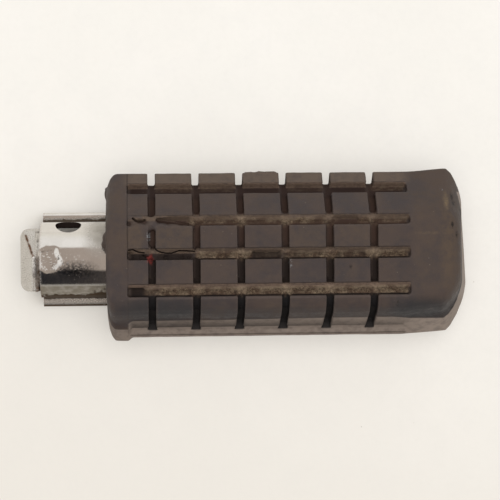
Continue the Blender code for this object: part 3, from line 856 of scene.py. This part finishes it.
def rubber_finish(rubber):
    """Old moulded rubber: brown-black, dusty, with sand in the grooves and pale worn edges, and with painted
    shade in the grooves and creases, painted sheen on the dust and painted dark sheen.
    """
    f = Finish("worn_rubber")
    x, y, z = f.axis("X"), f.axis("Y"), f.axis("Z")
    broad = f.noise(0.09, 4.0, 0.6)
    middling = f.noise(0.45, 5.0, 0.65)
    fine = f.noise(2.6, 4.0, 0.6)
    cavity, sand, film = f.painted("cavity"), f.painted("sand"), f.painted("film")
    base, film_colour = rubber.colour, rubber.film_colour

    # its own brown-black and what lies on its faces; the dust also paints sheen, and the dark sheen is
    # painted dark reflection and shade
    colour = f.mix(f.ramp(broad, 0.38, 0.62), tinted(base, 0.86, 0.89, 0.95), tinted(base, 1.16, 1.09, 1.0))
    colour = f.mix(f.ramp(middling, 0.42, 0.72, 0.0, 0.30), colour, film_colour)
    for name, low, high, least, most, top in (
        ("film", 0.30, 0.62, 0.35, 1.0, film_colour),
        ("clean", 0.2, 0.5, 0.6, 0.85, (0.026, 0.026, 0.028)),
        ("dust", 0.25, 0.6, 0.55, 0.95, rubber.dust_and_sheen_colour),
        ("wear", 0.35, 0.6, 0.15, 0.6, tinted(base, 1.5, 1.5, 1.45)),
    ):
        colour = f.mix(f.times(f.painted(name), f.ramp(middling, low, high, least, most)), colour, top)

    # the laid-back banks, painted paler where light falls on them, and the lines of painted shade
    bank = f.times(f.painted("bank"), f.ramp(f.noise(1.1, 4.0, 0.65), 0.30, 0.62, 0.35, 1.0), 0.85)
    # painted light: the banks' brown film is made paler, most on the rear and brow banks, for the light that
    # falls on them
    pale_bank = f.math("ADD", f.ramp(y, -5.0, -6.0), f.ramp(y, 17.0, 19.0), clamp=True)
    bank_film_and_light = f.mix(pale_bank, tinted(film_colour, 1.45, 1.40, 1.35), tinted(film_colour, 2.2, 2.1, 2.1))
    shade_lines = rubber_shade_lines(f, x, y, z, middling)
    colour = f.over(colour, (bank, bank_film_and_light), (shade_lines, tinted(base, 0.30, 0.28, 0.28)))

    # painted shade in the depths of the grooves, its tint changing from the rear slope to the brow
    deep = f.over(
        (0.015, 0.0145, 0.0155),
        (f.ramp(y, -13.5, -10.0), (0.021, 0.0155, 0.0135)),
        (f.ramp(y, 1.0, 6.0), (0.052, 0.032, 0.025)),
        (f.ramp(y, 17.5, 19.0), (0.034, 0.022, 0.019)),
    )
    colour = f.mix(f.times(cavity, 0.93), colour, deep)

    # sand in the grooves
    grit = f.ramp(f.noise(1.5, 4.0, 0.7, distortion=0.6), 0.38, 0.58, 0.4, 1.0)
    grit = f.times(f.math("MULTIPLY", sand, 1.5, clamp=True), grit)
    brown_sand = tinted(film_colour, 1.2, 1.1, 1.05)
    sandy = f.mix(f.ramp(f.noise(0.3, 3.0), 0.4, 0.6), rubber.sand_colour, brown_sand)
    glint = f.ramp(f.noise(2.0, 3.0, 0.7, distortion=1.2), 0.52, 0.66)
    glint = f.times(f.ramp(sand, 0.40, 0.95), glint, 0.65)
    colour = f.over(colour, (grit, sandy), (glint, (0.34, 0.262, 0.17)))

    # small marks
    nick = f.patchy("nick", 1.4, 0.38, 0.55)
    smudge = f.patchy("smudge", 0.9, 0.35, 0.65, 0.25)
    speck = f.times(f.painted("speck"), f.ramp(fine, 0.36, 0.52))
    frost = f.times(f.painted("frost"), f.ramp(f.noise(1.9, 3.0, 0.7), 0.50, 0.58))
    flecks = f.times(f.fall(f.cells(0.6), 0.05, 0.10), f.ramp(f.noise(0.3, 2.0), 0.56, 0.62))
    colour = f.over(
        colour,
        (f.times(smudge, 0.6), (0.21, 0.15, 0.085)),
        (f.times(nick, 0.85), (0.014, 0.011, 0.010)),
        (f.times(speck, 0.85), rubber.paint_colour),
        (f.times(frost, 0.8), (0.34, 0.36, 0.38)),
        (f.times(flecks, 0.45), (0.26, 0.21, 0.16)),
    )

    roughness = f.ramp(middling, 0.3, 0.7, 0.48, 0.66)
    roughness = f.math("ADD", roughness, f.times(f.math("ADD", film, sand), 0.3), clamp=True)
    roughness = f.math("ADD", roughness, f.times(cavity, 0.3), clamp=True)
    rear_slope = f.times(f.ramp(z, 27.0, 34.0, 0.9, 0.0), f.fall(y, -14.0, -11.0))
    sheen = f.times(f.ramp(cavity, 0.0, 0.8, 0.32, 0.05), f.math("SUBTRACT", 1.0, rear_slope))
    f.set(Base_Color=colour, Roughness=roughness, Specular_IOR_Level=sheen)
    relief = f.total(
        (middling, 0.5), (fine, 0.22), (f.noise(9.0, 2.0), 0.07), (grit, 0.45), (shade_lines, -0.6), (nick, -0.6)
    )
    f.set(Normal=f.bump(relief, 0.30 * MM))
    return f.material


class FOOTPEG_OT_tread_rubber(bpy.types.Operator):
    """Model the worn rubber sleeve with its block tread"""

    bl_idname = "footpeg.tread_rubber"
    bl_label = "Tread rubber"

    def execute(self, context):
        rubber = context.scene.footpeg_rubber
        piece = merged_copy("foot_rubber", "tread_rubber")
        for cutter in groove_banks() + groove_feet():
            cut(piece, cutter)
        joined(piece, torn_rubber() + collar_flaps() + ragged_edge() + dirt_wedges())
        moulded(
            piece, cell=rubber.cell, rounds=1, ripple="swell", size=7 * MM, strength=rubber.swell, level=0.7
        )
        thinned(piece, rubber.most_triangles)
        for blade in cracks():
            cut(piece, blade)
        without_bits(piece)
        bpy.ops.object.shade_smooth()
        paint_rubber(piece)
        piece.data.materials.append(rubber_finish(rubber))
        ride_and_replace(piece, "foot_rubber")
        return {"FINISHED"}


# The pressed channel


def plated_finish(steel, name, relief=0.05 * MM, pitting=1.0):
    """Old plating: bright, pitted, with brown stain in the folds, rust at the edges and a raw inside; the
    inside is painted near-black for the shade in it, and the stain, the haze and a near-black patch also
    paint shade and dark reflections.
    """
    f = Finish(name)
    broad = f.noise(0.20, 3.0, 0.55)
    streaks = f.noise(0.9, 4.0, 0.6, place=f.mapped((0.7, 1.0, 0.35)))
    fine = f.noise(3.2, 5.0, 0.65)
    fold, edge, grime = f.painted("fold"), f.painted("edge"), f.painted("grime")
    pitted, inner = f.painted("pitted"), f.painted("inner")
    pits = f.fall(f.cells(1.5), 0.05, 0.16)
    pits = f.times(pits, f.ramp(f.noise(0.35, 3.0), 0.50, 0.60), pitting)
    # the stain also paints the dark reflection low on the rear wall and shade next to the collar
    stain = f.ramp(f.math("ADD", fold, f.times(f.math("SUBTRACT", streaks, 0.5), 1.6)), 0.30, 0.85)
    stain = f.times(stain, f.ramp(fold, 0.03, 0.30))
    rust = f.times(edge, f.ramp(fine, 0.42, 0.62))
    # the haze also paints the darker reflection low on the rear wall and the shade next to the collar
    haze = f.times(grime, f.ramp(f.noise(0.45, 3.0, 0.55), 0.25, 0.65, 0.75, 1.0))
    # painted dark reflection: a near-black patch on the web
    soot = f.patchy("soot", 1.4, 0.36, 0.60, 0.25)
    colour = f.over(
        steel.plating_colour,
        (f.ramp(broad, 0.35, 0.65, 0.0, 0.5), (0.66, 0.63, 0.59)),
        (haze, steel.haze_colour),
        (f.times(soot, 0.9), (0.05, 0.05, 0.055)),
        (f.times(stain, 0.95), steel.stain_colour),
        (f.times(rust, 0.8), steel.rust_colour),
        (f.times(pits, 0.6), (0.10, 0.08, 0.065)),
        (inner, (0.022, 0.015, 0.013)),
    )
    dull = f.math("MAXIMUM", f.math("MAXIMUM", stain, rust), f.math("MAXIMUM", inner, f.times(haze, 0.7)))
    roughness = f.ramp(fine, 0.3, 0.7, 0.07, 0.15)
    roughness = f.math("ADD", roughness, f.times(dull, 0.6))
    roughness = f.math("ADD", roughness, f.times(pits, 0.3), clamp=True)
    metallic = f.math("SUBTRACT", 1.0, dull, clamp=True)
    f.set(Base_Color=colour, Roughness=roughness, Metallic=metallic)
    f.set(Specular_IOR_Level=f.ramp(dull, 0.4, 0.9, 0.12, 0.0))
    height = f.total(
        (fine, 0.08), (f.noise(0.7, 2.0), 0.25), (pits, -0.35), (dull, 0.12),
        (f.times(pitted, f.ramp(f.cells(1.35), 0.0, 0.42)), 1.6),
        (f.times(pitted, f.noise(1.1, 4.0, 0.7)), 1.5),
    )
    f.set(Normal=f.bump(height, relief))
    return f.material


class FOOTPEG_OT_peg_channel(bpy.types.Operator):
    """Model the pressed channel with its flanges, pin holes and dent"""

    bl_idname = "footpeg.peg_channel"
    bl_label = "Pressed channel"

    def execute(self, context):
        steel = context.scene.footpeg_steel
        start, end = CHANNEL_LOW.x, CHANNEL_HIGH.x
        centre = CHANNEL_HIGH.z - steel.arch
        fold_height = CHANNEL_LOW.z + steel.sheet
        half_span = (CHANNEL_HIGH.y - CHANNEL_LOW.y) / 2
        fold_radius, flange_radius, edge_radius = 0.9 * MM, 1.3 * MM, 0.2 * MM
        # the fine mesh reaches a little way into the rubber
        bare = RUBBER_LOW.x + 4 * MM - start
        piece = primitive(
            "peg_channel", bpy.ops.mesh.primitive_circle_add,
            vertices=240, radius=steel.arch, location=(start, AXIS, centre), rotation=(0, math.pi / 2, 0),
        )
        editing(piece)
        pick(piece, lambda co: co.z < centre - NEAR)
        bpy.ops.mesh.delete(type="VERT")
        pick(piece, lambda co: co.z < centre + NEAR)
        extruded(z=fold_height - centre)
        for side in (1, -1):
            tip = AXIS + side * steel.arch
            pick(piece, lambda co: co.z < fold_height + NEAR and abs(co.y - tip) < NEAR)
            extruded(y=side * (half_span - steel.arch))
        bpy.ops.mesh.select_all(action="SELECT")
        extruded(x=bare)
        extruded(x=end - start - bare)
        alone(piece)
        editing(piece, "EDGE")
        pick(
            piece, lambda co: abs(co.z - fold_height) < NEAR and abs(abs(co.y - AXIS) - steel.arch) < NEAR,
            "edges",
        )
        bpy.ops.mesh.bevel(offset=fold_radius, segments=8, affect="EDGES")
        pick(piece, lambda co: start + NEAR < co.x < start + bare - NEAR, "edges")
        bpy.ops.mesh.subdivide(number_cuts=72)
        outward(piece)
        up = [face.normal.z for face in piece.data.polygons if face.center.z > CHANNEL_HIGH.z - 0.3 * MM]
        if sum(up) < 0:
            editing(piece, action="SELECT")
            bpy.ops.mesh.flip_normals()
            alone(piece)
        dent(piece, steel, start)
        modified(piece, "SOLIDIFY", thickness=steel.sheet, offset=-1, use_even_offset=True)
        editing(piece, "EDGE")
        pick(
            piece, lambda co: abs(co.y - AXIS) > half_span - NEAR and co.z > fold_height - NEAR
            and start + 10 * NEAR < co.x < end - NEAR, "edges",
        )
        bpy.ops.mesh.bevel(offset=flange_radius, segments=8, affect="EDGES")
        alone(piece)
        rounded(piece, edge_radius, 3, 50)
        pin = (start + steel.pin_from_end, AXIS, centre)
        turn = (steel.pin_tilt - math.pi / 2, 0, 0)
        cut(piece, rod("pin_rod", pin, steel.pin_hole / 2, 2 * half_span, turn))
        alone(piece)
        bpy.ops.object.shade_smooth_by_angle(angle=math.radians(32))
        paint_channel(piece, steel, centre, fold_height)
        piece.data.materials.append(plated_finish(steel, "old_plating"))
        ride_and_replace(piece, "footrest_channel")
        return {"FINISHED"}


def dent(piece, steel, start):
    """Presses the shallow dent into the web, open at the channel's end."""
    middle = Vector((start + 2.9 * MM, AXIS + 0.2 * MM))
    web_above, reach, flat, fade = 20, 5.4, 2.1, 2.4
    group = piece.vertex_groups.new(name="dent")
    for vertex in piece.data.vertices:
        away = (vertex.co.xy - middle) / MM
        if vertex.co.z < web_above * MM or away.length > reach:
            continue
        rough = 0.7 * noise.noise(Vector((away.x * 0.45, away.y * 0.45, 2.0)))
        share = min(max((away.length - flat + rough) / fade, 0.0), 1.0)
        weight = 1 - share * share * (3 - 2 * share)
        if weight > 0:
            group.add([vertex.index], weight, "REPLACE")
    modified(
        piece, "DISPLACE", direction="Z", strength=-steel.dent_depth, mid_level=0.0, vertex_group="dent"
    )


def paint_channel(piece, steel, centre, fold_height):
    """Stores where the folds, the bare edges, the haze, the pitting and the raw inside are, with the painted
    dark reflections and shade; the inside is painted near-black for the shade in it.
    """
    points = places(piece)
    x, y, z = points.T
    low, middle, arch = fold_height / MM, centre / MM, steel.arch / MM
    side = np.abs(y)
    start = (CHANNEL_LOW.x - ALONG) / MM
    collar = (RUBBER_LOW.x - ALONG) / MM
    rear = y < 0
    fold = np.exp(-((side - np.where(rear, 12.0, 12.2)) ** 2) / 0.35 - ((z - low - 0.2) ** 2) / 1.6)
    fold = np.minimum(1.6 * fold, 1)
    # brown stain along the rear wall's foot, which also paints the dark reflection there
    fold += step(-y, 9.9, 11.5) * (z > low) * (z < 23) * (side < 12.2)
    fold += 0.6 * span(x, collar - 4.8, collar + 2, 2.0) * span(y, -11.9, -8.6, 1.6) * (z > low)
    # painted shade on the web just outside the collar, on the front side
    fold += 0.45 * step(x, collar - 2.2, collar) * (y > 6)
    fold += step(-y, 14.2, 14.5) * (z > low - 1.2)
    edge = 1 - step(x - start, 0.1, 0.6)
    edge = 0.5 * np.maximum(edge, 0.7 * step(side, 14.6, 14.95) * rear)
    # painted darker reflection low on the rear wall
    haze = span(y, -11.2, -7.9, 0.5) * step(z, low, low + 1)
    haze += 0.48 * step(side, 12.2, 13.0) * (1 - step(y, 13.3, 13.7))
    # painted shade: haze on the web next to the collar
    haze += 0.7 * spot(points, (collar - 2.0, 8.0), (4.0, 5.0), 0.8)
    # painted dark reflection on the web, on the rear side of its crown
    soot = spot(points, (start + 11.2, -3.1), (5.4, 2.2), 0.75) * rear
    pitted = spot(points, (start + 10.6, -0.9), (5.2, 2.6), 0.6) + spot(points, (start + 2.5, 0), (4.0, 3.6))
    paint(piece, fold=fold, edge=edge, grime=haze, pitted=pitted, soot=soot)
    faces = np.empty(len(piece.data.polygons) * 3)
    piece.data.polygons.foreach_get("center", faces)
    x, y, z = ((faces.reshape(-1, 3) - (ALONG, AXIS, 0)) / MM).T
    # the inside and the pin hole's bore are painted near-black, as the shade in them
    inner = np.where(z > middle, np.hypot(y, z - middle) < arch - 1.0, (np.abs(y) < arch - 0.35) & (z > 0))
    across = y * math.sin(steel.pin_tilt) - (z - middle) * math.cos(steel.pin_tilt)
    from_pin = np.hypot(x - start - steel.pin_from_end / MM, across)
    inner &= x > start + 0.3
    inner |= (from_pin < steel.pin_hole / MM / 2 + 0.005) & (z > low + 0.3)
    paint(piece, "FACE", inner=inner)


# The stop nose


class FOOTPEG_OT_nose(bpy.types.Operator):
    """Model the rounded stop nose with its skew ridge"""

    bl_idname = "footpeg.nose"
    bl_label = "Stop nose"

    def execute(self, context):
        steel = context.scene.footpeg_steel
        tip, back = NOSE_LOW.x, CHANNEL_LOW.x - 0.3 * MM
        ridge = Vector((tip + 4.3 * MM, AXIS, 25.0 * MM))
        piece = box("nose", (tip, NOSE_LOW.y, NOSE_LOW.z), (back, NOSE_HIGH.y, ridge.z + 2 * MM))
        editing(piece, "EDGE")
        pick(piece, lambda co: co.x < tip + 10 * NEAR and abs(co.z - 16 * MM) < 3 * MM, "edges")
        bpy.ops.mesh.bevel(offset=3.0 * MM, segments=10, affect="EDGES")
        corner = Vector((tip + 1.9 * MM, AXIS + 7.6 * MM, 21.2 * MM))
        slopes = (
            (ridge, Vector((-math.sin(math.radians(58)), 0, math.cos(math.radians(58))))),
            (ridge, Vector((math.sin(math.radians(34)), 0, math.cos(math.radians(34))))),
            (corner, Vector((0.173, 0.552, 0.816))),
        )
        for place, normal in slopes:
            bpy.ops.mesh.select_all(action="SELECT")
            bpy.ops.mesh.bisect(plane_co=place, plane_no=normal, use_fill=True, clear_outer=True)
        alone(piece)
        rounded(piece, 0.7 * MM, 4, 20)
        # the plug that is set into the channel's end
        half, deep, level = 9.6 * MM, 5.0 * MM, 17 * MM
        inner_end = CHANNEL_LOW.x - 1.5 * MM
        plug = rod("nose_plug", (inner_end + deep / 2, AXIS, level), half, deep, (0, math.pi / 2, 0))
        low = (inner_end, AXIS - half, NOSE_LOW.z + 0.6 * MM)
        foot = box("nose_foot", low, (inner_end + deep, AXIS + half, level))
        joined(piece, [plug, foot])
        moulded(
            piece, cell=0.16 * MM, rounds=14, ripple="nose_cast", size=3.5 * MM, strength=0.10 * MM, level=0.9
        )
        bpy.ops.object.shade_smooth()
        points = places(piece)
        x, y, z = points.T
        start = (CHANNEL_LOW.x - ALONG) / MM
        tip_x = (tip - ALONG) / MM
        skew_ridge = tip_x + 1.9 + (7.6 - y) * 2.4 / 6.7
        on_ridge = np.exp(-((x - skew_ridge - 0.15) ** 2) / 0.26) * span(y, 0.9, 7.9, 0.4) * (z > 19)
        back_slope = step(x, start - 1.75, start - 1.35) * (y < 1) * (z > 18)
        flecks = spots(
            points, ((0.5, (start - 0.9, 9.0), (0.9, 1.0), 0.6), (0.5, (start - 0.7, 5.5), (0.4, 2.2), 0.6))
        )
        paint(
            piece, fold=0.75 * on_ridge + 0.64 * back_slope + flecks,
            edge=np.minimum(1.3 * on_ridge, 1) + 0.6 * back_slope, grime=np.full_like(x, 0.42),
            inner=step(x, start + 0.2, start + 0.8), pitted=np.zeros_like(x), soot=np.zeros_like(x),
        )
        piece.data.materials.append(plated_finish(steel, "nose_plating", 0.02 * MM, 0.2))
        ride_and_replace(piece, "stop_nose")
        return {"FINISHED"}


# The weld bead


def weld_finish():
    """Plated weld: rough, glittering metal with dirt between the beads."""
    f = Finish("plated_weld")
    fine = f.noise(3.0, 4.0, 0.7)
    dirt = f.math("ADD", f.ramp(fine, 0.50, 0.66), f.ramp(f.axis("Y"), -5.0, -1.5, 0.95, 0.0), clamp=True)
    colour = f.mix(f.times(dirt, 0.8), (0.90, 0.88, 0.86), (0.10, 0.07, 0.05))
    f.set(Base_Color=colour, Metallic=f.ramp(dirt, 0.0, 1.0, 1.0, 0.3))
    f.set(Roughness=f.ramp(fine, 0.35, 0.65, 0.08, 0.30))
    f.set(Normal=f.bump(f.total((f.cells(2.6), 1.0), (fine, 0.5)), 0.30 * MM))
    return f.material


class FOOTPEG_OT_weld(bpy.types.Operator):
    """Model the lumpy weld bead between the nose and the web"""

    bl_idname = "footpeg.weld"
    bl_label = "Weld bead"

    def execute(self, context):
        size = WELD_HIGH - WELD_LOW
        middle = (WELD_LOW + WELD_HIGH) / 2
        chance = random.Random(11)
        drops = []
        count, inset = 9, 0.5 * MM
        for i in range(count):
            share = (i + 0.5) / count
            across = WELD_LOW.y + inset + share * (size.y - 2 * inset)
            up = middle.z + chance.uniform(-0.2, 0.45) * MM
            girth = math.sin(math.pi * (0.12 + 0.76 * share))
            width = Vector((0.88 * size.x, 1.4 * MM, size.z * (0.58 + 0.22 * girth)))
            drops.append(lump("weld_drop", (middle.x, across, up), width, chance.uniform(-0.2, 0.2)))
        piece = joined(drops[0], drops[1:])
        piece.name = "weld"
        piece.data.name = "weld"
        moulded(
            piece, cell=0.10 * MM, rounds=2, ripple="weld_ripple", size=0.6 * MM,
            strength=0.30 * MM, level=0.8,
        )
        bpy.ops.object.shade_smooth()
        piece.data.materials.append(weld_finish())
        ride_and_replace(piece, "nose_weld")
        return {"FINISHED"}


# Floor, light and camera

# The place along and across the peg that the camera stands over
CAMERA_OVER = (-31.0, 2.45)


def floor_finish(stage):
    """Pale painted board with faint smudges and specks, and painted shade that darkens it towards the rear
    and the inner end.
    """
    f = Finish("pale_floor")
    broad = f.noise(0.02, 3.0)
    cloudy = f.noise(0.12, 4.0, 0.6)
    fine = f.noise(0.5, 3.0)
    base = stage.floor_colour
    # painted shade: the floor grows darker towards the rear and the inner end
    rearward = f.total((f.axis("Y"), 1.0), (f.axis("X"), 0.35))
    specks = f.fall(f.cells(0.085), 0.015, 0.032)
    specks = f.times(specks, f.ramp(f.noise(0.05, 2.0), 0.45, 0.55), 0.45)
    colour = f.over(
        tinted(base, 0.985, 0.985, 0.98),
        (f.ramp(broad, 0.3, 0.7), tinted(base, 1.01, 1.01, 1.01)),
        (f.ramp(cloudy, 0.35, 0.75, 0.0, 0.35), tinted(base, 0.94, 0.945, 0.95)),
        (f.ramp(fine, 0.4, 0.8, 0.0, 0.12), tinted(base, 0.88, 0.88, 0.87)),
        (f.ramp(rearward, -110.0, 60.0, 0.6, 0.0), tinted(base, 0.82, 0.795, 0.76)),
        (specks, (0.36, 0.31, 0.25)),
    )
    f.set(Base_Color=colour, Roughness=0.75)
    f.set(Normal=f.bump(fine, 0.05 * MM))

    # the eye sees part of the floor's own colour, but the floor below the channel stays in shadow
    path = f.new("LightPath").outputs
    seen = f.math("ADD", path["Is Camera Ray"], path["Is Glossy Ray"])
    seen = f.math("ADD", seen, path["Is Transmission Ray"], clamp=True)
    under_x = f.fall(f.math("ABSOLUTE", f.axis("X")), 66.0, 72.0)
    under_y = f.fall(f.math("ABSOLUTE", f.axis("Y")), 13.0, 16.0)
    share = f.times(seen, f.math("SUBTRACT", 1.0, f.times(under_x, under_y)), 0.4)
    pale = f.new("Emission", {"Color": colour})
    both = f.new("MixShader", {0: share, 1: f.shader.outputs[0], 2: pale.outputs[0]})
    f.fill(f.tree.nodes["Material Output"].inputs["Surface"], both.outputs[0])
    return f.material


def studio_world(strength):
    """Even light for matt surfaces, and a studio with a grey ceiling and a dark side for glossy ones."""
    world = bpy.data.worlds.new("studio")
    bpy.context.scene.world = world
    world.use_nodes = True
    world.node_tree.nodes.clear()
    w = Nodes(world.node_tree)
    x, y, z = w.new("SeparateXYZ", {0: w.new("TexCoord").outputs["Generated"]}).outputs
    lean = w.math("MULTIPLY", w.math("ARCTAN2", y, z), 180 / math.pi)
    ceiling = w.times(w.ramp(lean, -50.0, -42.0), w.fall(lean, 36.0, 39.0))
    ceiling = w.times(ceiling, w.fall(w.math("ABSOLUTE", x), 0.42, 0.52))
    south = w.times(w.ramp(lean, -84.0, -78.0), w.fall(lean, -38.0, -31.0))
    dark = w.times(south, w.ramp(x, -0.33, -0.25), w.fall(x, -0.040, -0.018))
    white = (1.0, 0.985, 0.965)
    seen = w.over(
        (0.93, 0.90, 0.83),
        (w.ramp(z, 0.0, 0.45), white),
        (ceiling, (0.45, 0.385, 0.34)),
        (w.fall(lean, -79.0, -75.0), (0.36, 0.34, 0.30)),
        (south, (0.085, 0.07, 0.062)),
        (dark, (0.020, 0.020, 0.024)),
    )
    glossy = w.new("Background", {"Color": seen})
    power = w.times(w.ramp(z, 0.0, 0.9, 0.55, 1.25), strength)
    even = w.new("Background", {"Color": white, "Strength": power})
    is_glossy = w.new("LightPath").outputs["Is Glossy Ray"]
    choice = w.new("MixShader", {0: is_glossy, 1: even.outputs[0], 2: glossy.outputs[0]})
    w.new("OutputWorld", {0: choice.outputs[0]})


class FOOTPEG_OT_stage(bpy.types.Operator):
    """Add the pale floor, the soft light and the camera"""

    bl_idname = "footpeg.stage"
    bl_label = "Stage"

    def execute(self, context):
        stage = context.scene.footpeg_stage
        floor = primitive("floor", bpy.ops.mesh.primitive_plane_add, size=6, location=(0, 0, -0.2 * MM))
        floor.data.materials.append(floor_finish(stage))
        studio_world(stage.sky_strength)

        lamp = bpy.data.lights.new("soft_lamp", "AREA")
        lamp.shape = "DISK"
        lamp.size = stage.lamp_width
        lamp.energy = stage.lamp_power
        lamp.color = (1.0, 0.985, 0.96)
        holder = linked("soft_lamp", lamp)
        holder.location = (0.02, 0.05, 1.2)
        holder.rotation_euler = Vector(holder.location).to_track_quat("Z", "Y").to_euler()
        holder.visible_glossy = False

        camera = bpy.data.cameras.new("camera")
        camera.lens = stage.lens
        camera.sensor_width = 36
        camera.clip_start = 0.01
        camera.clip_end = 50
        viewer = linked("camera", camera)
        tilt, roll = stage.camera_tilt, stage.camera_roll
        right = Vector((math.cos(tilt) * math.cos(roll), -math.sin(roll), math.sin(tilt) * math.cos(roll)))
        back = Vector((-math.sin(tilt), 0, math.cos(tilt)))
        up = back.cross(right)
        turn = Matrix((right, up, back)).transposed().to_4x4()
        eye = (*at(*CAMERA_OVER, 0).xy, stage.camera_height)
        viewer.matrix_world = Matrix.Translation(eye) @ turn
        context.scene.camera = viewer
        context.scene.view_settings.view_transform = "Standard"
        return {"FINISHED"}


class FOOTPEG_PT_panel(bpy.types.Panel):
    """Lists the footpeg's pieces in the sidebar"""

    bl_label = "Footpeg"
    bl_idname = "FOOTPEG_PT_panel"
    bl_space_type = "VIEW_3D"
    bl_region_type = "UI"
    bl_category = "Footpeg"

    def draw(self, context):
        column = self.layout.column()
        for step_id in STEPS:
            column.operator(f"footpeg.{step_id}")


STEPS = ("tread_rubber", "peg_channel", "nose", "weld", "stage")
SETTINGS = {"footpeg_rubber": RubberSettings, "footpeg_steel": SteelSettings, "footpeg_stage": StageSettings}
CLASSES = (
    *SETTINGS.values(),
    FOOTPEG_OT_tread_rubber,
    FOOTPEG_OT_peg_channel,
    FOOTPEG_OT_nose,
    FOOTPEG_OT_weld,
    FOOTPEG_OT_stage,
    FOOTPEG_PT_panel,
)


def register():
    for item in CLASSES:
        bpy.utils.register_class(item)
    for name, group in SETTINGS.items():
        setattr(bpy.types.Scene, name, bpy.props.PointerProperty(type=group))


def unregister():
    for name in SETTINGS:
        delattr(bpy.types.Scene, name)
    for item in reversed(CLASSES):
        bpy.utils.unregister_class(item)


def main():
    register()
    for step_id in STEPS:
        getattr(bpy.ops.footpeg, step_id)()


if __name__ == "__main__":
    main()
